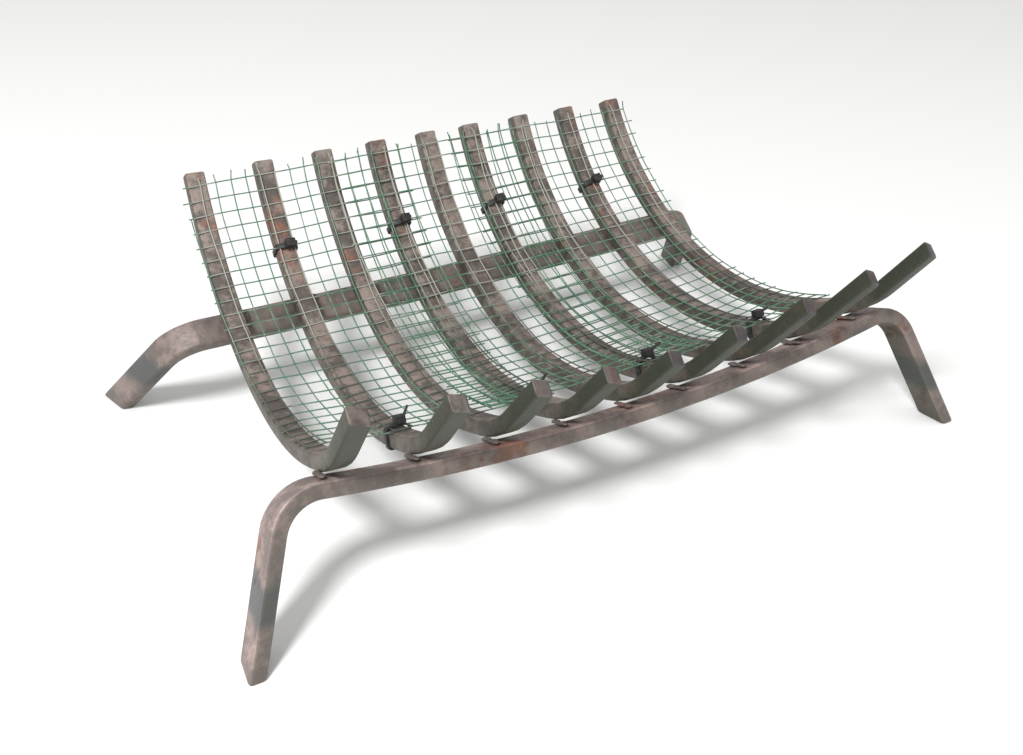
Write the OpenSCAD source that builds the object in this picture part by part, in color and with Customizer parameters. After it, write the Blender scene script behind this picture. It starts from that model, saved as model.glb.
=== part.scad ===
// Fireplace grate of flat steel bar: nine curved bars welded across two rails, whose ends are
// bent down into splayed legs. Three overlapping sheets of green coated wire mesh line the
// cradle, and black cable ties hold them to every second bar.
// X runs along the rails, Y towards the back and Z up, with the feet on Z = 0.

/* [Bars] */
// Width of the flat bar that the nine grate bars are cut from
bar_w = 16; // [12:0.5:22]
// Thickness of the grate bars
bar_t = 12; // [6:0.5:16]
// Number of grate bars
bar_count = 9; // [5:2:13]
// Usual spacing of the bars at the front rail, centre to centre
bar_pitch = 57; // [40:1:70]
// How far each gap between neighbouring bars differs from the usual spacing, left to right
gap_drift = [8, 2, -1, -3, -8, 2, -1, 2];
// Angle by which the end bars spread out towards the front
fan_a = 4; // [0:0.5:8]
// Angle by which all the bars are askew on the rails
skew_a = -1.2; // [-3:0.1:3]
// Lean of the straight top of a bar, back from upright
top_lean = 33.5; // [15:0.5:45]
// Length of the straight top
top_len = 8; // [5:1:80]
// Radius of the long curve, on the cradle face
sweep_r = 224; // [180:1:320]
// Angle that the long curve turns through
sweep_a = 83.5; // [60:0.5:90]
// Length of the straight run between the long curve and the front bend
low_len = 20; // [6:1:60]
// Radius of the front bend, on the cradle face
bend_r = 100; // [10:1:140]
// Angle of the front bend, which stops logs from rolling out
bend_a = 28; // [10:1:45]
// Length of the straight tip
tip_len = 57; // [40:1:110]
// How far the length of each tip differs, left to right
tip_drift = [0, 0, -1, -7, -10, 0, 4, 9, 7];
// How far the right side of a tip is cut back
tip_skew = 10; // [0:0.5:14]
// How far the underside of a tip is cut back
tip_bevel = 2; // [0:0.5:10]

/* [Rails and legs] */
// Width of the flat bar of both rails
rail_w = 24; // [14:0.5:28]
// Thickness of the rails
rail_t = 12; // [6:0.5:14]
// Inside radius of the bend between rail and leg
leg_r = 26; // [8:1:40]
// Splay of each leg, out from square to its rail
leg_splay = 21; // [5:1:32]
// Height of the lowest point of the cradle face above the floor, at the end bars
bed_height = 72; // [55:1:110]
// Place of the front rail along a bar, from the bar's top end
front_seat = 366; // [340:1:400]
// Place of the back rail along a bar, from the bar's top end
back_seat = 126; // [90:1:180]
// Front rail from the last bar's centre to the start of the leg bend
front_over = 12; // [12:1:60]
// Back rail from the last bar's centre to the start of the leg bend
back_over = 17; // [12:1:60]
// Sag of the front rail's middle, from years of heat
front_bow = 16.5; // [2:0.5:20]
// Sag of the back rail's middle
back_bow = 5; // [1:0.5:8]
// Angle by which the front rail is turned past the slope of the bars
front_turn = 10.5; // [0:0.5:14]
// Angle by which the back rail is turned past the slope of the bars, so that its legs reach back
back_turn = 11; // [0:1:20]
// Gap that the welds bridge between a bar and a rail
weld_gap = 0.3; // [0.2:0.1:0.6]
// Leg of a weld bead
weld_leg = 5; // [3:0.5:7]

/* [Wire mesh] */
// Distance from the bars' top ends to the mesh's first wire
mesh_top = 8; // [4:1:30]
// Length of the mesh along the bars
mesh_len = 330; // [240:5:340]
// Width of a strand, which stands for a coated wire and half of its neighbours
strand_w = 1.8; // [1.2:0.1:3]
// Thickness of the mesh
mesh_t = 1.2; // [0.8:0.1:2]
// Gaps across one sheet
mesh_across = 8; // [4:1:8]
// Gaps along one sheet
mesh_along = 12; // [6:1:12]
// How far the left sheet reaches past the first bar's centre at the front
left_over = 12.5; // [10:0.5:25]
// How far the middle sheet lies to the right of the middle
middle_shift = 3; // [-12:0.5:12]
// How far the right sheet reaches past the last bar's centre at the front
right_over = 12; // [10:0.5:25]
// Width of one sheet of mesh
sheet_w = 190; // [150:1:200]

/* [Cable ties] */
// Width of a tie's band
tie_w = 3.6; // [2.5:0.1:4.8]
// Thickness of a tie's band
tie_t = 1.1; // [0.8:0.1:1.5]
// Side of the square head
tie_head = 6; // [4:0.5:8]
// Place of the rear ties along a bar, from its top end
rear_tie = 76; // [60:1:100]
// Place of the front ties along a bar, from its top end
front_tie = 320; // [300:1:335]

/* [Hidden] */

// Clearance between pieces that lie on each other
clear = 0.2;
// Largest turn of one facet on a long curve and on a tight bend
fine_turn = 2.5;
tight_turn = 6;

function total(list, n) = n <= 0 ? 0 : list[n - 1] + total(list, n - 1);
function arc_len(r, a) = PI * r * a / 180;
function arc_turn(r, s) = s * 180 / (PI * r);

// A bar's cradle face is a line of [y, z, heading], where the heading is the angle from
// straight down towards the front. It starts at the top end.
function ahead(p, d) = [p[0] - d * sin(p[2]), p[1] - d * cos(p[2]), p[2]];
function turned(p, r, a) =
    [p[0] + r * (cos(p[2] + a) - cos(p[2])), p[1] - r * (sin(p[2] + a) - sin(p[2])), p[2] + a];
function outward(p, d) = [p[0] + d * cos(p[2]), p[1] - d * sin(p[2])];

// Ends of the stretches of a bar, first with the top end at [0, 0]
raw_sweep = ahead([0, 0, top_lean], top_len);
raw_floor = turned(raw_sweep, sweep_r, 90 - top_lean);
at_top = [0, bed_height - raw_floor[1], top_lean];
at_sweep = ahead(at_top, top_len);
at_low = turned(at_sweep, sweep_r, sweep_a);
at_bend = ahead(at_low, low_len);
at_tip = turned(at_bend, bend_r, bend_a);
s_sweep = top_len;
s_low = s_sweep + arc_len(sweep_r, sweep_a);
s_bend = s_low + low_len;
s_tip = s_bend + arc_len(bend_r, bend_a);

function cradle_at(s) =
    s <= s_sweep ? ahead(at_top, s)
    : s <= s_low ? turned(at_sweep, sweep_r, arc_turn(sweep_r, s - s_sweep))
    : s <= s_bend ? ahead(at_low, s - s_low)
    : s <= s_tip ? turned(at_bend, bend_r, arc_turn(bend_r, s - s_bend))
    : ahead(at_tip, s - s_tip);

// Bars stand left to right, centred on X = 0
bar_gaps = [for (i = [0:bar_count - 2]) bar_pitch + (i < len(gap_drift) ? gap_drift[i] : 0)];
field = total(bar_gaps, bar_count - 1);
function bar_x(i) = total(bar_gaps, i) - field / 2;

// Each bar is swung about its seat on the front rail, more so towards the ends
back_point = outward(cradle_at(back_seat), bar_t);
front_point = outward(cradle_at(front_seat), bar_t);
function swing(x) = fan_a * x / (field / 2) + skew_a;
function bar_across(i, y) = bar_x(i) - (y - front_point[0]) * tan(swing(bar_x(i)));
// A swung bar is as deep from front to back as one that is square to the rails
function reach_out(x, y) = front_point[0] + (y - front_point[0]) / cos(swing(x));

// A rail is [place along a bar, turn past the bar's slope, half length, bow]
back_field = field - 2 * (back_point[0] - front_point[0]) * tan(fan_a);
front = [front_seat, front_turn, field / 2 + front_over, front_bow];
back = [back_seat, back_turn, back_field / 2 + back_over, back_bow];
function rail_heading(rail) = cradle_at(rail[0])[2] - rail[1];
// Centre line of the rail's upper face, under the end of the bow
function rail_seat(rail) =
    outward(cradle_at(rail[0]), bar_t + rail_w / 2 * sin(rail[1]) + weld_gap);
function rail_down(rail) = [cos(rail_heading(rail)), -sin(rail_heading(rail))];
function bow_r(rail) = (rail[2] * rail[2] + rail[3] * rail[3]) / (2 * rail[3]);
function bow_at(rail, x) =
    sqrt(pow(bow_r(rail), 2) - x * x) - sqrt(pow(bow_r(rail), 2) - pow(rail[2], 2));
function bow_slope(rail, x) = asin(x / bow_r(rail));
// A bar rests on the higher edge of the sloping rail below it
function seat_drop(rail, x) = bow_at(rail, x) - bar_w / 2 * tan(abs(bow_slope(rail, x)));

// Where bar i goes: down on its back seat, then turned about it onto the front rail
seat_span = front_point - back_point;
lever = (-seat_span[1] * rail_down(front)[0] + seat_span[0] * rail_down(front)[1]) * PI / 180;
function sink(i) = seat_drop(back, bar_across(i, back_point[0])) * rail_down(back);
function pitch(i) = (seat_drop(front, bar_x(i)) - sink(i) * rail_down(front)) / lever;
function placed(i, p) = let (d = p - back_point, a = pitch(i))
    back_point + sink(i) + [d[0] * cos(a) - d[1] * sin(a), d[0] * sin(a) + d[1] * cos(a)];
// The same on a line of bar centres, for what spans several bars
function nearest_left(x, y, i = 0) =
    i >= bar_count - 2 || x < bar_across(i + 1, y) ? i : nearest_left(x, y, i + 1);
function spanned(x, p) =
    let (i = nearest_left(x, p[0]),
         left = bar_across(i, p[0]),
         t = (x - left) / (bar_across(i + 1, p[0]) - left))
    placed(i, p) * (1 - t) + placed(i + 1, p) * t;

// The rail's legs reach the floor at these places
function leg_height(rail) = rail_seat(rail)[1];
function leg_reach(rail) = leg_height(rail) / -rail_down(rail)[1] * rail_down(rail)[0];
function tip_end(i) = ahead(at_tip, tip_len + (i < len(tip_drift) ? tip_drift[i] : 0));
function tip_under(i) = outward(ahead(tip_end(i), -tip_bevel), bar_t);
function foot_half(rail) = rail_w / 2 / sin(rail_heading(rail));
y_front = min(concat(
    [rail_seat(front)[0] + leg_reach(front) - foot_half(front)],
    [for (i = [0:bar_count - 1]) each [placed(i, tip_end(i))[0], placed(i, tip_under(i))[0]]]));
y_back = max(concat(
    [rail_seat(back)[0] + leg_reach(back) + foot_half(back)],
    [for (i = [0:bar_count - 1]) placed(i, outward(at_top, bar_t))[0]]));
y_mid = (y_front + y_back) / 2;

function reversed(list) = [for (i = [len(list) - 1:-1:0]) list[i]];

// Length past a tip's end, which the end cut takes off
cut_spare = bar_w;
// Side view of bar i: the cradle face from top to tip, then the underside back again
bar_stops = concat(
    [0],
    [for (a = [0:fine_turn:sweep_a - fine_turn / 2]) s_sweep + arc_len(sweep_r, a)],
    [s_low],
    [for (a = [0:tight_turn:bend_a - tight_turn / 2]) s_bend + arc_len(bend_r, a)],
    [s_tip]);
function bar_outline(i) =
    let (line = concat([for (s = bar_stops) cradle_at(s)], [ahead(tip_end(i), cut_spare)]),
         edge = concat([for (p = line) outward(p, 0)], reversed([for (p = line) outward(p, bar_t)])))
    [for (p = edge) [reach_out(bar_x(i), p[0]), p[1]]];

// Draws what is given in a bar's own Y and Z, with its place along X, where bar i goes
module on_bar(i) {
    translate([bar_x(i), front_point[0] - y_mid, 0])
        rotate([0, 0, swing(bar_x(i))])
            translate([0, back_point[0] - front_point[0] + sink(i)[0], back_point[1] + sink(i)[1]])
                rotate([pitch(i), 0, 0])
                    translate([0, -back_point[0], -back_point[1]])
                        children();
}

// A frame on bar i at p: Z runs on along the bar, Y points into the cradle
module along_bar(i, p) {
    translate([0, reach_out(bar_x(i), p[0]), p[1]])
        rotate([180 - p[2], 0, 0])
            children();
}

module grate_bar(i) {
    color("rosybrown")
        on_bar(i)
            difference() {
                rotate([90, 0, 90])
                    linear_extrude(bar_w, center = true)
                        polygon(bar_outline(i));
                along_bar(i, tip_end(i))
                    tip_cut();
            }
}

// Slanted end cut of a tip: its right side and its underside are shorter
module tip_cut() {
    rotate([atan(tip_bevel / bar_t), 0, 0])
        translate([-bar_w / 2, 0, 0])
            rotate([0, atan(tip_skew / bar_w), 0])
                translate([-bar_w, -3 * bar_w, 0])
                    cube([4 * bar_w, 6 * bar_w, 3 * bar_w]);
}

// Upper face of half a rail and its leg, as [x, depth, heading] from the middle out
function rail_ahead(p, d) = [p[0] + d * cos(p[2]), p[1] + d * sin(p[2]), p[2]];
function rail_turned(p, r, a) =
    [p[0] + r * (sin(p[2] + a) - sin(p[2])), p[1] - r * (cos(p[2] + a) - cos(p[2])), p[2] + a];
function rail_under(p, d) = [p[0] - d * sin(p[2]), p[1] + d * cos(p[2]), p[2]];
bow_parts = 12;
bend_parts = 12;
function rail_half(rail) =
    let (end_slope = bow_slope(rail, rail[2]),
         turn = 90 - leg_splay + end_slope,
         start = [rail[2], 0, -end_slope],
         corner = rail_turned(start, leg_r + rail_t, turn),
         leg_len = leg_height(rail) / cos(leg_splay) / -rail_down(rail)[1] + rail_w)
    concat(
        [for (k = [0:bow_parts - 1]) let (x = rail[2] * k / bow_parts)
            [x, bow_at(rail, x), -bow_slope(rail, x)]],
        [for (k = [0:bend_parts]) rail_turned(start, leg_r + rail_t, turn * k / bend_parts)],
        [rail_ahead(corner, leg_len)]);

module rail_bar(rail) {
    upper = rail_half(rail);
    under = [for (p = upper) rail_under(p, rail_t)];
    outline = concat(
        [for (p = reversed(upper)) [p[0], -p[1]]],
        [for (i = [1:len(upper) - 1]) [-upper[i][0], -upper[i][1]]],
        [for (p = reversed(under)) [-p[0], -p[1]]],
        [for (i = [1:len(under) - 1]) [under[i][0], -under[i][1]]]);
    seat = rail_seat(rail);
    below = 4 * bed_height;
    difference() {
        translate([0, seat[0] - y_mid, seat[1]])
            rotate([180 - rail_heading(rail), 0, 0])
                linear_extrude(rail_w, center = true)
                    polygon(outline);
        translate([-field, -field, -below])
            cube([2 * field, 2 * field, below]);
    }
}

module front_rail() {
    color("slategray") rail_bar(front);
}

module back_rail() {
    color("dimgray") rail_bar(back);
}

// Beads in the corner between the left side of each bar and the rail below it
bead_section = [[0, 0], [-weld_leg, 0], [-0.7 * weld_leg, 0.55 * weld_leg], [0, weld_leg]];
module weld_beads(rail, side) {
    seat = rail_seat(rail);
    for (i = [0:bar_count - 1]) {
        bar = bar_across(i, seat[0]);
        slope = bow_slope(rail, bar);
        in_face = atan(tan(swing(bar_x(i))) * sin(rail_heading(rail)));
        lean = weld_leg * sin(abs(slope));
        x = bar + side * (bar_w / 2 / cos(in_face) + 2 * clear + lean);
        color("darkgray")
            translate([0, seat[0] - y_mid, seat[1]])
                rotate([180 - rail_heading(rail), 0, 0])
                    translate([x, clear - bow_at(rail, x), 0])
                        rotate([0, in_face, slope])
                            linear_extrude(0.8 * rail_w, center = true)
                                scale([-side, 1])
                                    polygon(bead_section);
    }
}

module welds_front() {
    weld_beads(front, -1);
}

module welds_back() {
    weld_beads(back, 1);
}

// A sheet of mesh is a thin plate with square gaps, which follows the bars' cradle faces.
// Its grid lines are the two edges of every strand.
mesh_lift = clear + bar_w / 2 * tan(bow_slope(front, field / 2));
function strand_edges(start, length, gaps) =
    [for (k = [0:gaps]) for (side = [0, 1])
        start + (length - strand_w) * k / gaps + side * strand_w];

// A sheet's left edge is at x_left by the front rail, and it is turned like the bar at x_turn
module mesh_sheet(x_left, x_turn, lift) {
    xs = strand_edges(x_left, sheet_w, mesh_across);
    ss = strand_edges(mesh_top, mesh_len, mesh_along);
    nx = len(xs);
    ns = len(ss);
    // The two faces, under side first
    points = [for (h = [lift, lift + mesh_t]) for (s = ss) for (x = xs)
        let (face = outward(cradle_at(s), -h),
             turned_x = x - (face[0] - front_point[0]) * tan(swing(x_turn)),
             p = spanned(turned_x, face))
        [turned_x, p[0] - y_mid, p[1]]];
    function at(h, j, i) = h * nx * ns + j * nx + i;
    function solid_at(j, i) =
        j >= 0 && j < ns - 1 && i >= 0 && i < nx - 1 && (j % 2 == 0 || i % 2 == 0);
    function quad(a, b, c, d) = [[a, b, c], [a, c, d]];
    faces = [for (j = [0:ns - 2]) for (i = [0:nx - 2]) if (solid_at(j, i))
        each concat(
            quad(at(0, j, i), at(0, j, i + 1), at(0, j + 1, i + 1), at(0, j + 1, i)),
            quad(at(1, j, i), at(1, j + 1, i), at(1, j + 1, i + 1), at(1, j, i + 1)),
            solid_at(j - 1, i) ? [] : quad(at(0, j, i), at(1, j, i), at(1, j, i + 1), at(0, j, i + 1)),
            solid_at(j + 1, i) ? [] :
                quad(at(0, j + 1, i + 1), at(1, j + 1, i + 1), at(1, j + 1, i), at(0, j + 1, i)),
            solid_at(j, i - 1) ? [] : quad(at(0, j + 1, i), at(1, j + 1, i), at(1, j, i), at(0, j, i)),
            solid_at(j, i + 1) ? [] :
                quad(at(0, j, i + 1), at(1, j, i + 1), at(1, j + 1, i + 1), at(0, j + 1, i + 1)))];
    polyhedron(points, faces);
}

mesh_upper = mesh_lift + mesh_t + clear;
module mesh_left() {
    color("mediumseagreen") mesh_sheet(-field / 2 - left_over, -field / 2, mesh_lift);
}

module mesh_middle() {
    color("seagreen") mesh_sheet(middle_shift - sheet_w / 2, 0, mesh_upper);
}

module mesh_right() {
    color("mediumseagreen") mesh_sheet(field / 2 + right_over - sheet_w, field / 2, mesh_lift);
}

// A tie is a band round a bar and the mesh on it, with its head on top and a cut tail
band_in_w = bar_w + 2 * clear;
module cable_tie(i, s, sheets) {
    band_top = mesh_lift + sheets * (mesh_t + clear) + mesh_lift;
    band_in_h = bar_t + clear + band_top;
    color("black")
        on_bar(i)
            along_bar(i, cradle_at(s))
                translate([0, band_top - band_in_h / 2, 0]) {
                    difference() {
                        cube([band_in_w + 2 * tie_t, band_in_h + 2 * tie_t, tie_w], center = true);
                        cube([band_in_w, band_in_h, 2 * tie_w], center = true);
                    }
                    translate([band_in_w / 2 - tie_head, band_in_h / 2 + tie_t / 2, -tie_head / 2])
                        cube([tie_head, tie_head * 0.7, tie_head]);
                }
}

front_rail();
back_rail();
grate_bar(0);  // grate_bar_1
grate_bar(1);  // grate_bar_2
grate_bar(2);  // grate_bar_3
grate_bar(3);  // grate_bar_4
grate_bar(4);  // grate_bar_5
grate_bar(5);  // grate_bar_6
grate_bar(6);  // grate_bar_7
grate_bar(7);  // grate_bar_8
grate_bar(8);  // grate_bar_9
mesh_left();
mesh_middle();
mesh_right();
cable_tie(1, rear_tie, 1);  // rear_tie_2
cable_tie(3, rear_tie, 2);  // rear_tie_4
cable_tie(5, rear_tie, 2);  // rear_tie_6
cable_tie(7, rear_tie, 1);  // rear_tie_8
cable_tie(1, front_tie, 1);  // front_tie_2
cable_tie(3, front_tie, 2);  // front_tie_4
cable_tie(5, front_tie, 2);  // front_tie_6
cable_tie(7, front_tie, 1);  // front_tie_8
welds_front();
welds_back();
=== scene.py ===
"""Fireplace grate of steel bar with a lining of green coated wire mesh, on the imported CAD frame.

The CAD bars and rails are copied, cleaned and bevelled. The mesh, ties and welds are modelled here and
stand for their plain CAD nodes. Everything is in metres, X along the rails, Y to the back and Z up.
"""

import math
import random

import bpy
from mathutils import Matrix, Vector, noise
from mathutils.bvhtree import BVHTree


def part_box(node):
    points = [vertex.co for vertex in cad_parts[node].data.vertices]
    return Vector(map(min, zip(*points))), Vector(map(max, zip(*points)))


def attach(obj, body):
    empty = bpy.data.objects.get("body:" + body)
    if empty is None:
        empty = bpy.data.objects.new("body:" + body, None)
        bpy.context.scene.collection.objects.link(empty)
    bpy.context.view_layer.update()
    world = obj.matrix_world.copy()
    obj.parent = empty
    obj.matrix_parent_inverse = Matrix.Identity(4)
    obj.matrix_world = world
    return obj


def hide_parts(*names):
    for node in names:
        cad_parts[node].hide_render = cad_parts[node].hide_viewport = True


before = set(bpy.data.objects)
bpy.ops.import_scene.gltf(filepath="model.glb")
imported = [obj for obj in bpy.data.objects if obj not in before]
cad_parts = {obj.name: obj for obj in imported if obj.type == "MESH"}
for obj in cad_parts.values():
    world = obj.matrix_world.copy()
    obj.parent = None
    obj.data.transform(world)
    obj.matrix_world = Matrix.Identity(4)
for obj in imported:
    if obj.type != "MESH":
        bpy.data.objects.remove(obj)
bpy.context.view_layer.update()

bl_info = {
    "name": "Fireplace grate",
    "version": (1, 0, 0),
    "blender": (4, 5, 0),
    "location": "3D View > Sidebar > Grate",
    "description": "Builds a bar grate with a wire mesh lining, its finishes, and a plain studio",
    "category": "Add Mesh",
}

MM = 0.001
BAR_NODES = [f"grate_bar_{n}" for n in range(1, 10)]
TIED_BARS = (2, 4, 6, 8)


class GrateSizes(bpy.types.PropertyGroup):
    """Sizes of the grate and its lining"""

    bar_width: bpy.props.FloatProperty(
        name="Bar width", description="Width of the grate bars", default=16 * MM, unit="LENGTH"
    )
    bar_thickness: bpy.props.FloatProperty(
        name="Bar thickness", description="Thickness of the grate bars", default=12 * MM, unit="LENGTH"
    )
    bar_edge: bpy.props.FloatProperty(
        name="Bar edge", description="Worn rounding of a bar's edges", default=1.8 * MM, unit="LENGTH"
    )
    rail_edge: bpy.props.FloatProperty(
        name="Rail edge", description="Worn rounding of the rails' edges", default=2.8 * MM, unit="LENGTH"
    )
    top_lean: bpy.props.FloatProperty(
        name="Top lean",
        description="Lean of a bar's top, back from upright",
        default=math.radians(33.5),
        subtype="ANGLE",
    )
    top_length: bpy.props.FloatProperty(
        name="Top length", description="Straight stretch at a bar's top", default=8 * MM, unit="LENGTH"
    )
    sweep_radius: bpy.props.FloatProperty(
        name="Sweep radius", description="Radius of the bars' long curve", default=224 * MM, unit="LENGTH"
    )
    sweep_axis_y: bpy.props.FloatProperty(
        name="Sweep axis Y", description="Place of the long curve's axis, front to back",
        default=0.9 * MM, unit="LENGTH",
    )
    sweep_axis_z: bpy.props.FloatProperty(
        name="Sweep axis Z", description="Height of the long curve's axis", default=296 * MM, unit="LENGTH"
    )
    cell: bpy.props.FloatProperty(
        name="Mesh cell", description="Spacing of the mesh's wires", default=12.7 * MM, unit="LENGTH"
    )
    wire: bpy.props.FloatProperty(
        name="Wire", description="Thickness of a coated wire", default=1.05 * MM, unit="LENGTH"
    )
    first_row: bpy.props.FloatProperty(
        name="First row", description="First cross wire, down from a bar's top", default=12 * MM, unit="LENGTH"
    )
    rows: bpy.props.IntProperty(name="Rows", description="Mesh cells along a bar", default=25, min=4)
    columns: bpy.props.IntProperty(name="Columns", description="Mesh cells across a sheet", default=15, min=4)
    rear_tie: bpy.props.FloatProperty(
        name="Rear tie", description="Rear cable ties, down from a bar's top", default=76 * MM, unit="LENGTH"
    )
    front_tie: bpy.props.FloatProperty(
        name="Front tie", description="Front cable ties, down from a bar's top", default=320 * MM, unit="LENGTH"
    )


class GrateFinish(bpy.types.PropertyGroup):
    """Colours of the grate's finishes, and of its painted shade and highlight"""

    steel_light: bpy.props.FloatVectorProperty(
        name="Bare steel", description="Lighter, rubbed steel", subtype="COLOR", default=(0.285, 0.228, 0.195)
    )
    rail_light: bpy.props.FloatVectorProperty(
        name="Rail steel", description="Pinkish grey of the rails' upper faces", subtype="COLOR",
        default=(0.4, 0.3, 0.272),
    )
    rail_dark: bpy.props.FloatVectorProperty(
        name="Stained rail", description="Darker stains on the rails", subtype="COLOR", default=(0.19, 0.15, 0.14)
    )
    steel_dark: bpy.props.FloatVectorProperty(
        name="Burnt steel", description="Darker, heat-stained steel", subtype="COLOR",
        default=(0.09, 0.074, 0.066),
    )
    rust_red: bpy.props.FloatVectorProperty(
        name="Red rust", description="Old red-brown rust", subtype="COLOR", default=(0.26, 0.105, 0.072)
    )
    rust_orange: bpy.props.FloatVectorProperty(
        name="Orange rust", description="Fresh orange rust", subtype="COLOR", default=(0.47, 0.2, 0.075)
    )
    # Greenish black: painted shade with a painted green bounce, and soot
    soot_and_shade: bpy.props.FloatVectorProperty(
        name="Soot", description="Greenish black of sooty steel", subtype="COLOR", default=(0.018, 0.026, 0.013)
    )
    scorched: bpy.props.FloatVectorProperty(
        name="Scorched ends", description="Purple-grey of the tips' ends", subtype="COLOR",
        default=(0.045, 0.035, 0.038),
    )
    heat_blue: bpy.props.FloatVectorProperty(
        name="Heat blue", description="Blue-grey of heated legs", subtype="COLOR", default=(0.085, 0.095, 0.1)
    )
    weld: bpy.props.FloatVectorProperty(
        name="Weld", description="Grey of the weld metal", subtype="COLOR", default=(0.17, 0.14, 0.128)
    )
    coating: bpy.props.FloatVectorProperty(
        name="Coating", description="Green coating of the wire", subtype="COLOR", default=(0.035, 0.15, 0.08)
    )
    # Pale worn and dusty coating; on the bars high in the cradle it is also a painted highlight
    coating_worn_and_highlight: bpy.props.FloatVectorProperty(
        name="Worn coating", description="Coating that has gone pale", subtype="COLOR",
        default=(0.36, 0.35, 0.31),
    )
    # Painted shade: dark wires where they lie on the bars low in the cradle
    coating_painted_shade: bpy.props.FloatVectorProperty(
        name="Grimy coating", description="Coating that is dark with soot, low in the cradle", subtype="COLOR",
        default=(0.07, 0.062, 0.06),
    )
    nylon: bpy.props.FloatVectorProperty(
        name="Nylon", description="Black of the cable ties", subtype="COLOR", default=(0.012, 0.012, 0.013)
    )


class GrateStage(bpy.types.PropertyGroup):
    """Camera and floor"""

    camera_place: bpy.props.FloatVectorProperty(
        name="Camera place", description="Where the camera stands", subtype="XYZ", unit="LENGTH",
        default=(-0.4795, -0.7368, 0.5691),
    )
    camera_turn: bpy.props.FloatVectorProperty(
        name="Camera turn", description="The camera's rotation", subtype="EULER",
        default=tuple(math.radians(a) for a in (58.486, -1.987, -31.286)),
    )
    lens: bpy.props.FloatProperty(name="Lens", description="Focal length in mm on a 36 mm sensor", default=43.62)
    floor_colour: bpy.props.FloatVectorProperty(
        name="Floor", description="Colour of the floor", subtype="COLOR", default=(0.86, 0.86, 0.85)
    )


def sizes():
    return bpy.context.scene.grate_sizes


def finish_colours():
    return bpy.context.scene.grate_finish


# Selection and clean-up

def only(piece):
    """Selects one object and makes it active."""
    bpy.ops.object.select_all(action="DESELECT")
    piece.select_set(True)
    bpy.context.view_layer.objects.active = piece


def pick_faces(piece, wanted):
    """Opens a piece in edit mode with only the wanted faces selected."""
    only(piece)
    bpy.ops.object.mode_set(mode="EDIT")
    bpy.ops.mesh.select_mode(type="FACE")
    bpy.ops.mesh.select_all(action="DESELECT")
    bpy.ops.object.mode_set(mode="OBJECT")
    for face in piece.data.polygons:
        face.select = wanted(face)
    bpy.ops.object.mode_set(mode="EDIT")


def apply_modifiers(piece):
    only(piece)
    for modifier in list(piece.modifiers):
        bpy.ops.object.modifier_apply(modifier=modifier.name)


def settle(piece):
    """Puts the object's place into its mesh."""
    only(piece)
    bpy.ops.object.transform_apply(location=True, rotation=True, scale=True)


def joined(pieces, name):
    bpy.ops.object.select_all(action="DESELECT")
    for piece in pieces:
        piece.select_set(True)
    bpy.context.view_layer.objects.active = pieces[0]
    if len(pieces) > 1:
        bpy.ops.object.join()
    pieces[0].name = name
    pieces[0].data.name = name
    return pieces[0]


def copied(piece, name, matrix):
    """A copy with its own mesh, with the place in the mesh."""
    twin = bpy.data.objects.new(name, piece.data.copy())
    bpy.context.scene.collection.objects.link(twin)
    twin.data.transform(matrix)
    return twin


def dressed(piece, material, slot, *nodes):
    """Gives a finished piece its material and its body, and hides the nodes that it stands for. The slot is not
    used.
    """
    if material is not None:
        piece.data.materials.clear()
        piece.data.materials.append(material)
    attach(piece, "root")
    if nodes:
        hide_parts(*nodes)
    return piece


# The cradle's surface, read off the CAD bars

class Cradle:
    """Place of the bars' cradle faces, by the distance along a bar and the place across the grate."""

    def __init__(self):
        size = sizes()
        self.axis = (size.sweep_axis_y, size.sweep_axis_z)
        self.half = size.bar_width / 2
        self.bars = []
        for node in BAR_NODES:
            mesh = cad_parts[node].data
            points = [v.co.copy() for v in mesh.vertices]
            mean_x = sum(p.x for p in points) / len(points)
            mean_y = sum(p.y for p in points) / len(points)
            spread = sum((p.y - mean_y) ** 2 for p in points)
            slope = sum((p.x - mean_x) * (p.y - mean_y) for p in points) / spread
            tree = BVHTree.FromPolygons(points, [tuple(p.vertices) for p in mesh.polygons])
            self.bars.append({"x": mean_x - slope * mean_y, "slope": slope, "tree": tree})
        self.known = {}

    def heading(self, along):
        """Angle from straight down towards the front, at a distance along a bar."""
        size = sizes()
        return size.top_lean + (along - size.top_length) / size.sweep_radius

    def bar_line(self, bar, along):
        """Centre of a bar's cradle face and its distance from the axis."""
        key = (bar, round(along, 5))
        if key in self.known:
            return self.known[key]
        heading = self.heading(along)
        direction = Vector((0, math.cos(heading), -math.sin(heading)))
        radius = sizes().sweep_radius
        facts = self.bars[bar]
        for _ in range(3):
            y = self.axis[0] + radius * direction.y
            x = facts["x"] + facts["slope"] * y
            hit = facts["tree"].ray_cast(Vector((x, *self.axis)), direction)
            if hit[0] is not None:
                radius = hit[3]
        self.known[key] = (x, radius)
        return self.known[key]

    def radius(self, x, along):
        """Distance of the lining from the axis: flat on each bar, and straight from bar to bar."""
        lines = [self.bar_line(bar, along) for bar in range(len(self.bars))]
        if x <= lines[0][0] + self.half:
            return lines[0][1]
        for left, right in zip(lines, lines[1:]):
            if x <= right[0] + self.half:
                start, end = left[0] + self.half, right[0] - self.half
                share = min(max((x - start) / (end - start), 0), 1)
                return left[1] * (1 - share) + right[1] * share
        return lines[-1][1]

    def point(self, x, along, lift):
        heading = self.heading(along)
        reach = self.radius(x, along) - lift
        y = self.axis[0] + reach * math.cos(heading)
        return Vector((x, y, self.axis[1] - reach * math.sin(heading)))

    def frame_on_bar(self, bar, along):
        """Matrix of a place on a bar: X across it, Y up along it and Z into the cradle."""
        heading = self.heading(along)
        x, _ = self.bar_line(bar, along)
        swing = Matrix.Rotation(math.atan(-self.bars[bar]["slope"]), 3, "Z")
        across = swing @ Vector((1, 0, 0))
        along_bar = swing @ Vector((0, math.sin(heading), math.cos(heading)))
        into = across.cross(along_bar)
        turn = Matrix((across, along_bar, into)).transposed().to_4x4()
        return Matrix.Translation(self.point(x, along, 0)) @ turn


# Node helpers

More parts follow.
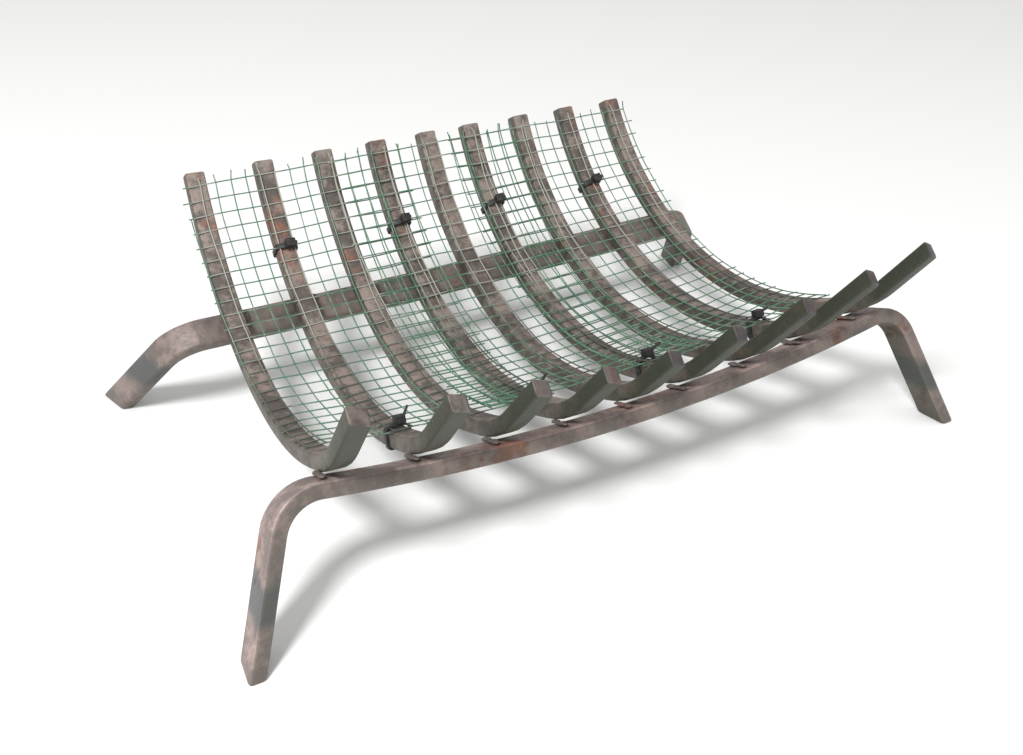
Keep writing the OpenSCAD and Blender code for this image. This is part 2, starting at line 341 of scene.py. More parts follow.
def add_node(tree, kind, **settings):
    node = tree.nodes.new(kind)
    for name, value in settings.items():
        setattr(node, name, value)
    return node


def feed(tree, node, **inputs):
    """Sets or links a node's inputs, named with _ for a blank."""
    for name, value in inputs.items():
        socket = node.inputs[name.replace("_", " ")]
        if isinstance(value, bpy.types.NodeSocket):
            tree.links.new(value, socket)
        else:
            socket.default_value = value
    return node


def noise_node(tree, vector, scale, detail=4.0, roughness=0.55):
    node = add_node(tree, "ShaderNodeTexNoise")
    feed(tree, node, Vector=vector, Scale=scale, Detail=detail, Roughness=roughness)
    return node.outputs["Fac"]


def ramp(tree, value, low, high):
    """0 below low, 1 above high, smooth between."""
    node = add_node(tree, "ShaderNodeMapRange", interpolation_type="SMOOTHSTEP")
    feed(tree, node, Value=value, From_Min=low, From_Max=high)
    return node.outputs["Result"]


def maths(tree, operation, first, second=0.0):
    node = add_node(tree, "ShaderNodeMath", operation=operation, use_clamp=False)
    for socket, value in zip(node.inputs, (first, second)):
        if isinstance(value, bpy.types.NodeSocket):
            tree.links.new(value, socket)
        else:
            socket.default_value = value
    return node.outputs[0]


def mixed(tree, share, first, second):
    node = add_node(tree, "ShaderNodeMix", data_type="RGBA")
    for socket, value in ((node.inputs[0], share), (node.inputs[6], first), (node.inputs[7], second)):
        if isinstance(value, bpy.types.NodeSocket):
            tree.links.new(value, socket)
        elif socket.type == "RGBA":
            socket.default_value = (*value, 1)
        else:
            socket.default_value = value
    return node.outputs[2]


def stretched(tree, vector, scale):
    node = add_node(tree, "ShaderNodeMapping")
    feed(tree, node, Vector=vector, Scale=scale)
    return node.outputs["Vector"]


def new_group(name, inputs, outputs):
    group = bpy.data.node_groups.new(name, "ShaderNodeTree")
    for label, kind, default in inputs:
        socket = group.interface.new_socket(label, in_out="INPUT", socket_type=kind)
        if default is not None:
            socket.default_value = default
    for label, kind in outputs:
        group.interface.new_socket(label, in_out="OUTPUT", socket_type=kind)
    start = add_node(group, "NodeGroupInput")
    end = add_node(group, "NodeGroupOutput")
    return group, start.outputs, end.inputs


def rust_group():
    """Rust in patches: broad red-brown stains, and small orange spots within them."""
    name = "rust patches"
    if name in bpy.data.node_groups:
        return bpy.data.node_groups[name]
    group, given, result = new_group(
        name,
        [("Vector", "NodeSocketVector", None), ("Amount", "NodeSocketFloat", 0.5)],
        [("Stain", "NodeSocketFloat"), ("Spots", "NodeSocketFloat"), ("Height", "NodeSocketFloat")],
    )
    broad = noise_node(group, given["Vector"], 22, 5, 0.6)
    fine = noise_node(group, given["Vector"], 160, 6, 0.65)
    both = maths(group, "ADD", maths(group, "MULTIPLY", broad, 0.7), maths(group, "MULTIPLY", fine, 0.3))
    edge = maths(group, "SUBTRACT", 0.72, maths(group, "MULTIPLY", given["Amount"], 0.3))
    stain = ramp(group, both, edge, maths(group, "ADD", edge, 0.09))
    small = noise_node(group, given["Vector"], 330, 4, 0.7)
    spots = maths(group, "MULTIPLY", ramp(group, small, 0.56, 0.68), stain)
    group.links.new(stain, result["Stain"])
    group.links.new(spots, result["Spots"])
    group.links.new(maths(group, "MULTIPLY", fine, stain), result["Height"])
    return group


def skin_group():
    """Surface of old mill steel: scale pits and fine grain, as a height, and a slow light and dark."""
    name = "mill skin"
    if name in bpy.data.node_groups:
        return bpy.data.node_groups[name]
    group, given, result = new_group(
        name,
        [("Vector", "NodeSocketVector", None)],
        [("Tone", "NodeSocketFloat"), ("Height", "NodeSocketFloat"), ("Grain", "NodeSocketFloat")],
    )
    slow = noise_node(group, given["Vector"], 36, 6, 0.62)
    pits = ramp(group, noise_node(group, given["Vector"], 420, 3, 0.5), 0.35, 0.5)
    dents = noise_node(group, given["Vector"], 90, 3, 0.5)
    grain = noise_node(group, given["Vector"], 1500, 2, 0.5)
    height = maths(group, "ADD", maths(group, "MULTIPLY", dents, 1.4), maths(group, "MULTIPLY", pits, 0.35))
    height = maths(group, "ADD", height, maths(group, "MULTIPLY", grain, 0.12))
    mottle = noise_node(group, given["Vector"], 150, 6, 0.7)
    tone = maths(group, "ADD", maths(group, "MULTIPLY", slow, 0.6), maths(group, "MULTIPLY", mottle, 0.4))
    group.links.new(tone, result["Tone"])
    group.links.new(height, result["Height"])
    group.links.new(grain, result["Grain"])
    return group


def use_group(tree, group, **inputs):
    node = add_node(tree, "ShaderNodeGroup", node_tree=group)
    feed(tree, node, **inputs)
    return node.outputs


def new_material(name, slot):
    material = bpy.data.materials.new(name)
    material.use_nodes = True
    tree = material.node_tree
    shader = tree.nodes["Principled BSDF"]
    where = add_node(tree, "ShaderNodeTexCoord").outputs["Object"]
    return material, tree, shader, where


def bumped(tree, shader, height, distance, strength=0.6):
    node = add_node(tree, "ShaderNodeBump")
    feed(tree, node, Height=height, Distance=distance, Strength=strength)
    tree.links.new(node.outputs["Normal"], shader.inputs["Normal"])


def old_steel(name, light, dark, red_from, red_to, off_tip_share=1.0, heated=False):
    """Rusty bar. Rust grows between two places along Y. Painted shade and soot are each face's own, cut to a given
    share off the tips.
    """
    look = finish_colours()
    material, tree, shader, where = new_material(name, name)
    place = add_node(tree, "ShaderNodeSeparateXYZ")
    tree.links.new(where, place.inputs[0])
    more_rust = maths(tree, "MULTIPLY", ramp(tree, place.outputs["Y"], red_from, red_to), 0.16)
    skin = use_group(tree, skin_group(), Vector=where)
    patches = use_group(tree, rust_group(), Vector=where, Amount=maths(tree, "ADD", more_rust, 0.46))
    tone = ramp(tree, skin["Tone"], 0.42, 0.58)
    colour = mixed(tree, tone, dark, light)
    freckle = ramp(tree, skin["Grain"], 0.3, 0.7)
    colour = mixed(tree, maths(tree, "MULTIPLY", freckle, 0.3), colour, dark)
    colour = mixed(tree, maths(tree, "MULTIPLY", patches["Stain"], 0.7), colour, look.rust_red)
    colour = mixed(tree, maths(tree, "MULTIPLY", patches["Spots"], 0.8), colour, look.rust_orange)
    if heated:
        height = maths(tree, "ADD", place.outputs["Z"], maths(tree, "MULTIPLY", skin["Tone"], 0.012))
        above, below = ramp(tree, height, 0.032, 0.042), ramp(tree, height, 0.068, 0.056)
        blue = maths(tree, "MULTIPLY", maths(tree, "MULTIPLY", above, below), 0.85)
        colour = mixed(tree, blue, colour, look.heat_blue)
        foot = maths(tree, "MULTIPLY", ramp(tree, height, 0.018, 0.012), 0.5)
        colour = mixed(tree, foot, colour, look.weld)
    # Each face's stored amount darkens it towards the greenish black: painted shade with a painted green bounce, and
    # soot
    shade_and_soot = add_node(tree, "ShaderNodeAttribute", attribute_name="soot_and_shade").outputs["Fac"]
    ragged = ramp(tree, skin["Tone"], 0.25, 0.6)
    wander = maths(tree, "MULTIPLY", maths(tree, "SUBTRACT", skin["Tone"], 0.5), 0.05)
    on_tip = ramp(tree, maths(tree, "ADD", place.outputs["Y"], wander), -0.125, -0.165)
    share = maths(tree, "ADD", off_tip_share, maths(tree, "MULTIPLY", on_tip, 1 - off_tip_share))
    shade_and_soot = maths(tree, "MULTIPLY", shade_and_soot, share)
    cover = maths(tree, "MULTIPLY", shade_and_soot, maths(tree, "ADD", 0.66, maths(tree, "MULTIPLY", ragged, 0.34)))
    colour = mixed(tree, cover, colour, look.soot_and_shade)
    scorch = add_node(tree, "ShaderNodeAttribute", attribute_name="scorch").outputs["Fac"]
    colour = mixed(tree, scorch, colour, look.scorched)
    tree.links.new(colour, shader.inputs["Base Color"])
    rough = maths(tree, "ADD", 0.5, maths(tree, "MULTIPLY", patches["Stain"], 0.3))
    tree.links.new(maths(tree, "ADD", rough, maths(tree, "MULTIPLY", freckle, 0.1)), shader.inputs["Roughness"])
    shader.inputs["Metallic"].default_value = 0.15
    height = maths(tree, "ADD", skin["Height"], maths(tree, "MULTIPLY", patches["Height"], 0.8))
    bumped(tree, shader, height, 0.5 * MM)
    return material


def bar_steel():
    look = finish_colours()
    return old_steel("bar_steel", tuple(look.steel_light), tuple(look.steel_dark), 0.07, 0.16, off_tip_share=0.55)


def weld_metal():
    look = finish_colours()
    material, tree, shader, where = new_material("weld_metal", "weld_metal")
    skin = use_group(tree, skin_group(), Vector=where)
    patches = use_group(tree, rust_group(), Vector=where, Amount=0.6)
    colour = mixed(tree, skin["Tone"], tuple(look.steel_dark), tuple(look.weld))
    colour = mixed(tree, maths(tree, "MULTIPLY", patches["Stain"], 0.6), colour, look.rust_red)
    tree.links.new(colour, shader.inputs["Base Color"])
    tree.links.new(ramp(tree, skin["Tone"], 1.2, -0.2), shader.inputs["Roughness"])
    shader.inputs["Metallic"].default_value = 0.3
    bumped(tree, shader, skin["Height"], 0.8 * MM, 0.8)
    return material


def wire_coating():
    look = finish_colours()
    material, tree, shader, where = new_material("wire_coating", "mesh_coating")
    worn = ramp(tree, noise_node(tree, where, 120, 4, 0.6), 0.48, 0.66)
    dusty = noise_node(tree, where, 600, 3, 0.5)
    colour = mixed(tree, maths(tree, "MULTIPLY", worn, 0.45), tuple(look.coating), tuple(look.coating_worn_and_highlight))
    colour = mixed(tree, maths(tree, "MULTIPLY", dusty, 0.22), colour, tuple(look.coating_worn_and_highlight))
    place = add_node(tree, "ShaderNodeSeparateXYZ")
    tree.links.new(where, place.inputs[0])
    # Wires lying on a bar: painted shade low in the cradle, turning higher up to pale worn coating with a painted
    # highlight
    high = ramp(tree, place.outputs["Y"], 0.0, 0.1)
    shade_to_highlight = mixed(tree, high, tuple(look.coating_painted_shade), tuple(look.coating_worn_and_highlight))
    rubbed = add_node(tree, "ShaderNodeAttribute", attribute_name="over_bar").outputs["Fac"]
    colour = mixed(tree, maths(tree, "MULTIPLY", rubbed, 0.8), colour, shade_to_highlight)
    tree.links.new(colour, shader.inputs["Base Color"])
    tree.links.new(ramp(tree, dusty, -0.6, 1.4), shader.inputs["Roughness"])
    bumped(tree, shader, dusty, 0.1 * MM, 0.5)
    return material


def tie_nylon():
    look = finish_colours()
    material, tree, shader, where = new_material("tie_nylon", "tie_nylon")
    dusty = noise_node(tree, where, 300, 4, 0.6)
    colour = mixed(tree, ramp(tree, dusty, 0.5, 0.8), tuple(look.nylon), (0.06, 0.055, 0.05))
    tree.links.new(colour, shader.inputs["Base Color"])
    tree.links.new(ramp(tree, dusty, -0.5, 1.3), shader.inputs["Roughness"])
    bumped(tree, shader, dusty, 0.1 * MM, 0.4)
    return material


# Bars and rails

def cleaned_copy(node, name, edge):
    """A CAD node's shape with its doubles merged, its flat faces joined and its edges rounded."""
    piece = copied(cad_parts[node], name, Matrix.Identity(4))
    only(piece)
    bpy.ops.object.mode_set(mode="EDIT")
    bpy.ops.mesh.select_all(action="SELECT")
    bpy.ops.mesh.remove_doubles(threshold=0.002 * MM)
    bpy.ops.mesh.dissolve_limited(angle_limit=math.radians(0.6))
    bpy.ops.object.mode_set(mode="OBJECT")
    bevel = piece.modifiers.new("worn edges", "BEVEL")
    bevel.width = edge
    bevel.segments = 3
    bevel.limit_method = "ANGLE"
    bevel.angle_limit = math.radians(35)
    apply_modifiers(piece)
    bpy.ops.object.shade_smooth_by_angle(angle=math.radians(32))
    return piece


def shaded_and_sooted(piece, amounts):
    """Stores each face's painted shade and soot, and its scorch, from amounts(centre, normal)."""
    soot_and_shade = piece.data.attributes.new("soot_and_shade", "FLOAT", "FACE")
    scorch = piece.data.attributes.new("scorch", "FLOAT", "FACE")
    for face in piece.data.polygons:
        soot_and_shade.data[face.index].value, scorch.data[face.index].value = amounts(face.center, face.normal)


def bar_shade_and_soot(number):
    """A bar's sides and undersides are darkened with painted shade and soot, most at its tip, its other faces only a
    little, and its tip's end is scorched.
    """
    end = 0.35 if number <= 2 else 0.6 if number <= 4 else 0.9

    def amounts(centre, normal):
        # Sides and undersides: painted shade, with soot
        if normal.z < -0.35 or abs(normal.x) > 0.6:
            return (0.9 if number <= 2 else 0.97), 0
        if normal.y < -0.3 and centre.y < -0.15:
            return 0, end
        return 0.08, 0

    return amounts


def rail_shade_and_soot(centre, normal):
    """A rail is darkened with painted shade by face: most on its underside and the inner sides of its legs, less on
    its front side, some on its other faces, and none on the other faces of the front rail's left part.
    """
    if normal.y < -0.6:
        return (0.55 if abs(centre.x) < 0.26 else 0.45), 0
    if normal.z < -0.3 or abs(normal.x) > 0.4 and centre.x * normal.x < 0:
        return 0.8, 0
    return (0 if centre.y < 0 and centre.x < 0.2 else 0.35), 0


class GRATE_OT_bars(bpy.types.Operator):
    """Rounds the edges of the nine grate bars and finishes them in rusty steel"""

    bl_idname = "grate.bars"
    bl_label = "Grate bars"

    def execute(self, context):
        steel = bar_steel()
        for number, node in enumerate(BAR_NODES, 1):
            piece = cleaned_copy(node, f"{node}_worn", sizes().bar_edge)
            shaded_and_sooted(piece, bar_shade_and_soot(number))
            dressed(piece, steel, "bar_steel", node)
        return {"FINISHED"}


class GRATE_OT_rails(bpy.types.Operator):
    """Rounds the edges of both rails with their legs and finishes them in rusty steel, darkened by face with painted
    shade
    """

    bl_idname = "grate.rails"
    bl_label = "Rails and legs"

    def execute(self, context):
        look = finish_colours()
        steel = old_steel("rail_steel", tuple(look.rail_light), tuple(look.rail_dark), 0.02, -0.08, heated=True)
        for node in ("front_rail", "back_rail"):
            piece = cleaned_copy(node, f"{node}_worn", sizes().rail_edge)
            shaded_and_sooted(piece, rail_shade_and_soot)
            dressed(piece, steel, "rail_steel", node)
        return {"FINISHED"}


# Welds

def lumpy_bead(seed):
    """A hand-laid bead: a row of overlapping blobs along Y, remeshed into one skin."""
    shaky = random.Random(seed)
    blobs = []
    for step in range(6):
        place = ((step - 2.5) * 2.9 + shaky.uniform(-0.5, 0.5)) * MM
        bpy.ops.object.select_all(action="DESELECT")
        bpy.ops.mesh.primitive_ico_sphere_add(
            subdivisions=3,
            radius=shaky.uniform(1.9, 2.8) * MM,
            location=(shaky.uniform(-0.5, 0.5) * MM, place, shaky.uniform(-0.3, 0.5) * MM),
        )
        blob = bpy.context.object
        blob.scale = (1.1, 1.2, 0.6)
        blobs.append(blob)
    bead = joined(blobs, "bead")
    settle(bead)
    skin = bead.modifiers.new("one skin", "REMESH")
    skin.mode = "VOXEL"
    skin.voxel_size = 0.5 * MM
    apply_modifiers(bead)
    bpy.ops.object.shade_smooth()
    return bead


def bead_places(node):
    """Centre and direction along the bead of each CAD bead, left to right."""
    points = sorted((v.co.copy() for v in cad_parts[node].data.vertices), key=lambda p: p.x)
    groups = [[points[0]]]
    for point in points[1:]:
        if point.x - groups[-1][-1].x > 12 * MM:
            groups.append([])
        groups[-1].append(point)
    for group in groups:
        centre = sum(group, Vector()) / len(group)
        middle_y = centre.y
        back = [p for p in group if p.y > middle_y]
        front = [p for p in group if p.y <= middle_y]
        along = (sum(back, Vector()) / len(back) - sum(front, Vector()) / len(front)).normalized()
        yield centre, along


class GRATE_OT_welds(bpy.types.Operator):
    """Lays a lumpy weld bead at each crossing of a bar and a rail"""

    bl_idname = "grate.welds"
    bl_label = "Welds"

    def execute(self, context):
        metal = weld_metal()
        models = [lumpy_bead(seed) for seed in (3, 8, 21)]
        for node in ("welds_front", "welds_back"):
            beads = []
            for number, (centre, along) in enumerate(bead_places(node)):
                up = Vector((1, 0, 0)).cross(along).normalized()
                sideways = along.cross(up)
                turn = Matrix((sideways, along, up)).transposed().to_4x4()
                spin = Matrix.Rotation(math.pi * (number % 2), 4, "Z")
                shift = Matrix.Translation(Vector((1 * MM, 0, 0)))
                place = Matrix.Translation(centre) @ shift @ turn @ spin
                beads.append(copied(models[number % 3], f"{node}_bead_{number + 1}", place))
            bead = joined(beads, f"{node}_beads")
            dressed(bead, metal, "weld_metal", node)
        for model in models:
            bpy.data.objects.remove(model)
        return {"FINISHED"}


# Wire mesh

def parallel_lines(count, points_each, name):
    """A grid reduced to its lines along Y: count lines, each of so many points."""
    bpy.ops.object.select_all(action="DESELECT")
    bpy.ops.mesh.primitive_grid_add(x_subdivisions=count - 1, y_subdivisions=points_each - 1, size=1)
    grid = bpy.context.object
    grid.name = name
    bpy.ops.object.mode_set(mode="EDIT")
    bpy.ops.mesh.select_mode(type="EDGE")
    bpy.ops.mesh.select_all(action="DESELECT")
    bpy.ops.object.mode_set(mode="OBJECT")
    points = grid.data.vertices
    for edge in grid.data.edges:
        first, second = (points[v].co for v in edge.vertices)
        edge.select = abs(first.y - second.y) < 1e-6
    bpy.ops.object.mode_set(mode="EDIT")
    bpy.ops.mesh.delete(type="EDGE")
    bpy.ops.object.mode_set(mode="OBJECT")
    return grid


def placed_lines(grid, count, points_each, where):
    """Moves each grid point to where(line, step), or takes it away where that is None."""
    gone = []
    for vertex in grid.data.vertices:
        line = round((vertex.co.x + 0.5) * (count - 1))
        step = round((vertex.co.y + 0.5) * (points_each - 1))
        place = where(line, step)
        vertex.select = place is None
        if place is None:
            gone.append(vertex.index)
        else:
            vertex.co = place
    if gone:
        for edge in grid.data.edges:
            edge.select = False
        only(grid)
        bpy.ops.object.mode_set(mode="EDIT")
        bpy.ops.mesh.select_mode(type="VERT")
        bpy.ops.object.mode_set(mode="OBJECT")
        for vertex in grid.data.vertices:
            vertex.select = vertex.index in gone
        bpy.ops.object.mode_set(mode="EDIT")
        bpy.ops.mesh.delete(type="VERT")
        bpy.ops.object.mode_set(mode="OBJECT")
    return grid


def rounded_wires(grid):
    """Turns lines into round wires."""
    only(grid)
    bpy.ops.object.convert(target="CURVE")
    wires = bpy.context.object
    wires.data.bevel_depth = sizes().wire / 2
    wires.data.bevel_resolution = 1
    wires.data.use_fill_caps = True
    bpy.ops.object.convert(target="MESH")
    bpy.ops.object.shade_smooth_by_angle(angle=math.radians(60))
    return bpy.context.object


def wire_sheet(cradle, name, edge_x, turn, lift, seed, free_corner=False):
    """One sheet of welded wire mesh. edge_x is its left edge at Y = 0, and turn leans its lines."""
    size = sizes()
    shaky = random.Random(seed)
    columns, rows, cell = size.columns, size.rows, size.cell
    top_stubs = [shaky.uniform(1.5, 8) * MM for _ in range(columns + 1)]
    bends = [shaky.uniform(-3.5, 3.5) * MM for _ in range(columns + 1)]
    end_stubs = [shaky.uniform(0.5, 4) * MM for _ in range(columns + 1)]
    left_stubs = [shaky.uniform(0.8, 3) * MM for _ in range(rows + 1)]
    right_stubs = [shaky.uniform(0.8, 6) * MM for _ in range(rows + 1)]

    def spot(column, row, height):
        along = size.first_row + row * cell
        heading = cradle.heading(along)
        y = cradle.axis[0] + size.sweep_radius * math.cos(heading)
        x = edge_x + column * cell - y * math.tan(turn)
        wave = noise.noise_vector(Vector((x, along, seed)) * 22)
        rise = lift + height + abs(wave.z) * 1.2 * MM
        return cradle.point(x + wave.x * 1.4 * MM, along + wave.y * 1.4 * MM, rise)

    def along_wire(line, step):
        row = (step - 1) / 2
        if free_corner and line == 0 and row < 2:
            return None
        if step == 0:
            place = spot(line, -top_stubs[line] / cell, size.wire * 0.85)
            return place + Vector((bends[line], 0, 0)) * (top_stubs[line] / cell)
        if step == 2 * rows + 2:
            return spot(line, rows + end_stubs[line] / cell, size.wire * 0.85)
        return spot(line, row, size.wire * 0.85)

    def cross_wire(line, step):
        column = (step - 1) / 2
        if step == 0:
            loose = 1.5 if free_corner and line < 2 else 1
            return spot(-left_stubs[line] * loose / cell, line, 0)
        if step == 2 * columns + 2:
            return spot(columns + right_stubs[line] / cell, line, 0)
        if free_corner and line < 2 and step == 1:
            return spot(0.2, line, 0)
        return spot(column, line, 0)

    wires = []
    for kind, count, steps, where in (
        ("along", columns + 1, 2 * rows + 3, along_wire),
        ("cross", rows + 1, 2 * columns + 3, cross_wire),
    ):
        grid = parallel_lines(count, steps, f"{name}_{kind}")
        wires.append(rounded_wires(placed_lines(grid, count, steps, where)))
    return joined(wires, name)


def painted_light_over_bars(cradle, sheet):
    """Stores where the wires lie on a bar, where the material paints them with painted shade low in the cradle and
    with pale worn coating and a painted highlight higher up.
    """
    over = sheet.data.attributes.new("over_bar", "FLOAT", "POINT")
    for vertex in sheet.data.vertices:
        gaps = [abs(vertex.co.x - bar["x"] - bar["slope"] * vertex.co.y) - cradle.half for bar in cradle.bars]
        over.data[vertex.index].value = min(max(0.5 - min(gaps) / (3 * MM), 0), 1)


class GRATE_OT_mesh_lining(bpy.types.Operator):
    """Lays three overlapping sheets of coated wire mesh in the cradle"""

    bl_idname = "grate.mesh_lining"
    bl_label = "Wire mesh"

    def execute(self, context):
        size = sizes()
        cradle = Cradle()
        coating = wire_coating()
        width = size.columns * size.cell
        first, last = (math.atan(-cradle.bars[bar]["slope"]) for bar in (0, -1))
        middle = (first + last) / 2
        front_y = -150 * MM
        left_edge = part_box("mesh_left")[0].x + front_y * math.tan(first) + 1.5 * MM
        right_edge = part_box("mesh_right")[1].x - width + front_y * math.tan(last)
        low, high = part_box("mesh_middle")
        middle_edge = (low.x + high.x) / 2 - width / 2
        resting, overlying = size.wire / 2 + 0.1 * MM, 3 * MM
        for node, edge, turn, lift, seed, corner in (
            ("mesh_left", left_edge, first + math.radians(1.3), resting, 5, True),
            ("mesh_middle", middle_edge, middle, overlying, 11, False),
            ("mesh_right", right_edge, last, resting, 17, False),
        ):
            sheet = wire_sheet(cradle, f"{node}_wires", edge, turn, lift, seed, corner)
            painted_light_over_bars(cradle, sheet)
            dressed(sheet, coating, "mesh_coating", node)
        return {"FINISHED"}


# Cable ties

def tie_band(height):
    """Closed band round a bar and its mesh: X across, Y along the bar, Z up from the cradle face."""
    size = sizes()
    width, wall, broad = size.bar_width + 0.5 * MM, 1.4 * MM, 4.6 * MM
    low = -size.bar_thickness - 0.25 * MM
    bpy.ops.object.select_all(action="DESELECT")
    bpy.ops.mesh.primitive_cube_add(size=1, location=(0, 0, (low + height) / 2))
    band = bpy.context.object
    band.scale = (width, broad, height - low)
    settle(band)
    pick_faces(band, lambda face: abs(face.normal.y) > 0.5)
    bpy.ops.mesh.delete(type="ONLY_FACE")
    bpy.ops.mesh.select_mode(type="EDGE")
    bpy.ops.mesh.select_all(action="DESELECT")
    bpy.ops.object.mode_set(mode="OBJECT")
    points = band.data.vertices
    for edge in band.data.edges:
        edge.select = all(points[v].co.z > 0 for v in edge.vertices) and (
            abs(points[edge.vertices[0]].co.x - points[edge.vertices[1]].co.x) > width / 2
        )
    bpy.ops.object.mode_set(mode="EDIT")
    bpy.ops.mesh.subdivide(number_cuts=1)
    bpy.ops.mesh.select_all(action="DESELECT")
    bpy.ops.object.mode_set(mode="OBJECT")
    for point in band.data.vertices:
        if point.co.z > 0 and abs(point.co.x) > width / 4:
            point.co.z = 0.35 * height
    for edge in band.data.edges:
        ends = [band.data.vertices[v].co for v in edge.vertices]
        edge.select = abs(ends[0].y - ends[1].y) > broad / 2
    bpy.ops.object.mode_set(mode="EDIT")
    bpy.ops.mesh.bevel(offset=1.6 * MM, segments=4)
    bpy.ops.object.mode_set(mode="OBJECT")
    wall_maker = band.modifiers.new("band", "SOLIDIFY")
    wall_maker.thickness = wall
    wall_maker.offset = 1
    edge_maker = band.modifiers.new("edges", "BEVEL")
    edge_maker.width = 0.25 * MM
    edge_maker.segments = 2
    edge_maker.limit_method = "ANGLE"
    apply_modifiers(band)
    return band


def tie_head(height, lean):
    """Square head with its slot, on top of the band."""
    bpy.ops.object.select_all(action="DESELECT")
    bpy.ops.mesh.primitive_cube_add(size=1, location=(0, 0, 0))
    head = bpy.context.object
    head.scale = (8 * MM, 7 * MM, 6 * MM)
    settle(head)
    pick_faces(head, lambda face: face.normal.x > 0.5)
    bpy.ops.mesh.inset(thickness=1 * MM)
    bpy.ops.mesh.extrude_region_move(TRANSFORM_OT_translate={"value": (-1.6 * MM, 0, 0)})
    bpy.ops.object.mode_set(mode="OBJECT")
    edges = head.modifiers.new("edges", "BEVEL")
    edges.width = 0.5 * MM
    edges.segments = 3
    edges.limit_method = "ANGLE"
    apply_modifiers(head)
    head.data.transform(Matrix.Rotation(lean, 4, "Y"))
    head.data.transform(Matrix.Translation((2.5 * MM, 0, height + 3.4 * MM)))
    return head


def tie_tail(height, length, rise):
    """Cut tail of the band, which leaves the head at an angle."""
    bpy.ops.object.select_all(action="DESELECT")
    bpy.ops.mesh.primitive_cube_add(size=1, location=(0.5, 0, 0))
    tail = bpy.context.object
    settle(tail)
    tail.data.transform(Matrix.Diagonal((length, 4 * MM, 1.3 * MM, 1)))
    pick_faces(tail, lambda face: face.normal.x > 0.5)
    bpy.ops.transform.resize(value=(1, 0.55, 0.8))
    bpy.ops.object.mode_set(mode="OBJECT")
    edges = tail.modifiers.new("edges", "BEVEL")
    edges.width = 0.25 * MM
    edges.segments = 2
    apply_modifiers(tail)
    tail.data.transform(Matrix.Rotation(-rise, 4, "Y"))
    tail.data.transform(Matrix.Translation((5.5 * MM, 0, height + 4 * MM)))
    return tail


class GRATE_OT_ties(bpy.types.Operator):
    """Fastens the mesh to every second bar with black cable ties"""

    bl_idname = "grate.ties"
    bl_label = "Cable ties"

    def execute(self, context):
        size = sizes()
        cradle = Cradle()
        nylon = tie_nylon()
        for row, along in (("rear", size.rear_tie), ("front", size.front_tie)):
            for bar in TIED_BARS:
                node = f"{row}_tie_{bar}"
                shaky = random.Random(f"{node}")
                height = (4.8 if bar in (4, 6) else 3.2) * MM
                length = shaky.uniform(2, 4) * MM if row == "rear" else shaky.uniform(8, 12) * MM
                parts = [
                    tie_band(height),
                    tie_head(height, shaky.uniform(-0.15, 0.15)),
                    tie_tail(height, length, shaky.uniform(0.2, 1.2)),
                ]
                tie = joined(parts, f"{node}_strap")
                turn = Matrix.Rotation(shaky.uniform(-0.08, 0.08), 4, "Z")
                tie.data.transform(cradle.frame_on_bar(bar - 1, along) @ turn)
                only(tie)
                bpy.ops.object.shade_smooth_by_angle(angle=math.radians(35))
                dressed(tie, nylon, "tie_nylon", node)
        return {"FINISHED"}


# Stage

def soft_light(name, place, target, size, power):
    lamp = bpy.data.lights.new(name, "AREA")
    lamp.shape = "DISK"
    lamp.size = size
    lamp.energy = power
    light = bpy.data.objects.new(name, lamp)
    bpy.context.scene.collection.objects.link(light)
    light.location = place
    light.rotation_euler = (Vector(target) - Vector(place)).to_track_quat("-Z", "Y").to_euler()
    return light


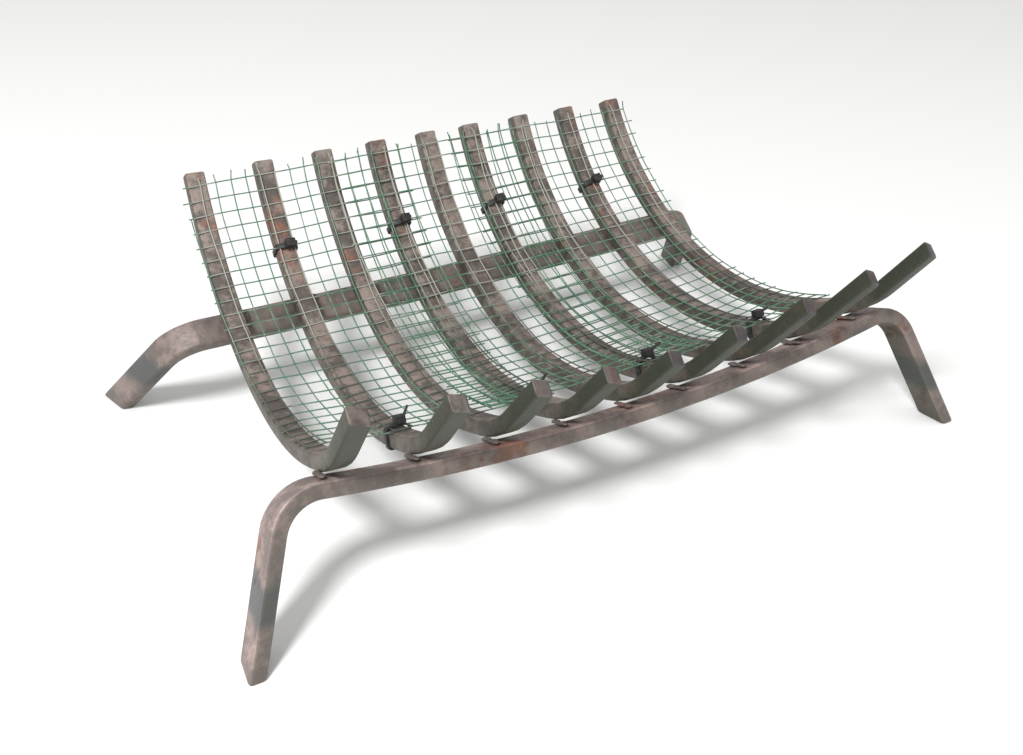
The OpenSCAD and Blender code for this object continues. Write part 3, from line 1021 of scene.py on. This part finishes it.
class GRATE_OT_stage(bpy.types.Operator):
    """Adds the pale floor, the soft lights and the camera"""

    bl_idname = "grate.stage"
    bl_label = "Stage"

    def execute(self, context):
        stage = context.scene.grate_stage
        bpy.ops.object.select_all(action="DESELECT")
        bpy.ops.mesh.primitive_plane_add(size=30, location=(0, 0, 0))
        floor = context.object
        floor.name = "floor"
        paint = bpy.data.materials.new("floor_paint")
        paint.use_nodes = True
        shader = paint.node_tree.nodes["Principled BSDF"]
        shader.inputs["Base Color"].default_value = (*stage.floor_colour, 1)
        shader.inputs["Roughness"].default_value = 0.9
        floor.data.materials.append(paint)
        world = bpy.data.worlds.new("studio")
        world.use_nodes = True
        world.node_tree.nodes["Background"].inputs["Color"].default_value = (1, 1, 1, 1)
        world.node_tree.nodes["Background"].inputs["Strength"].default_value = 0.62
        context.scene.world = world
        soft_light("key_light", (-1.6, -1.0, 2.2), (0, 0, 0.1), 0.6, 78)
        soft_light("fill_light", (1.8, -1.6, 1.2), (0, 0, 0.1), 2.0, 12)
        camera_data = bpy.data.cameras.new("camera")
        camera_data.lens = stage.lens
        camera_data.sensor_width = 36
        camera = bpy.data.objects.new("camera", camera_data)
        camera.location = stage.camera_place
        camera.rotation_euler = stage.camera_turn
        context.scene.collection.objects.link(camera)
        context.scene.camera = camera
        context.scene.view_settings.view_transform = "Standard"
        return {"FINISHED"}


class GRATE_PT_panel(bpy.types.Panel):
    """Lists the grate's steps and settings"""

    bl_label = "Fireplace grate"
    bl_idname = "GRATE_PT_panel"
    bl_space_type = "VIEW_3D"
    bl_region_type = "UI"
    bl_category = "Grate"

    def draw(self, context):
        layout = self.layout
        for step in STEPS:
            layout.operator(step.bl_idname)
        for group in ("grate_sizes", "grate_finish", "grate_stage"):
            settings = getattr(context.scene, group)
            for name in settings.__annotations__:
                layout.prop(settings, name)


STEPS = (
    GRATE_OT_stage,
    GRATE_OT_bars,
    GRATE_OT_rails,
    GRATE_OT_welds,
    GRATE_OT_mesh_lining,
    GRATE_OT_ties,
)
SETTINGS = (GrateSizes, GrateFinish, GrateStage)


def register():
    for kind in (*SETTINGS, *STEPS, GRATE_PT_panel):
        bpy.utils.register_class(kind)
    bpy.types.Scene.grate_sizes = bpy.props.PointerProperty(type=GrateSizes)
    bpy.types.Scene.grate_finish = bpy.props.PointerProperty(type=GrateFinish)
    bpy.types.Scene.grate_stage = bpy.props.PointerProperty(type=GrateStage)


def unregister():
    for name in ("grate_sizes", "grate_finish", "grate_stage"):
        delattr(bpy.types.Scene, name)
    for kind in reversed((*SETTINGS, *STEPS, GRATE_PT_panel)):
        bpy.utils.unregister_class(kind)


def main():
    register()
    bpy.ops.grate.stage()
    bpy.ops.grate.bars()
    bpy.ops.grate.rails()
    bpy.ops.grate.welds()
    bpy.ops.grate.mesh_lining()
    bpy.ops.grate.ties()


if __name__ == "__main__":
    main()
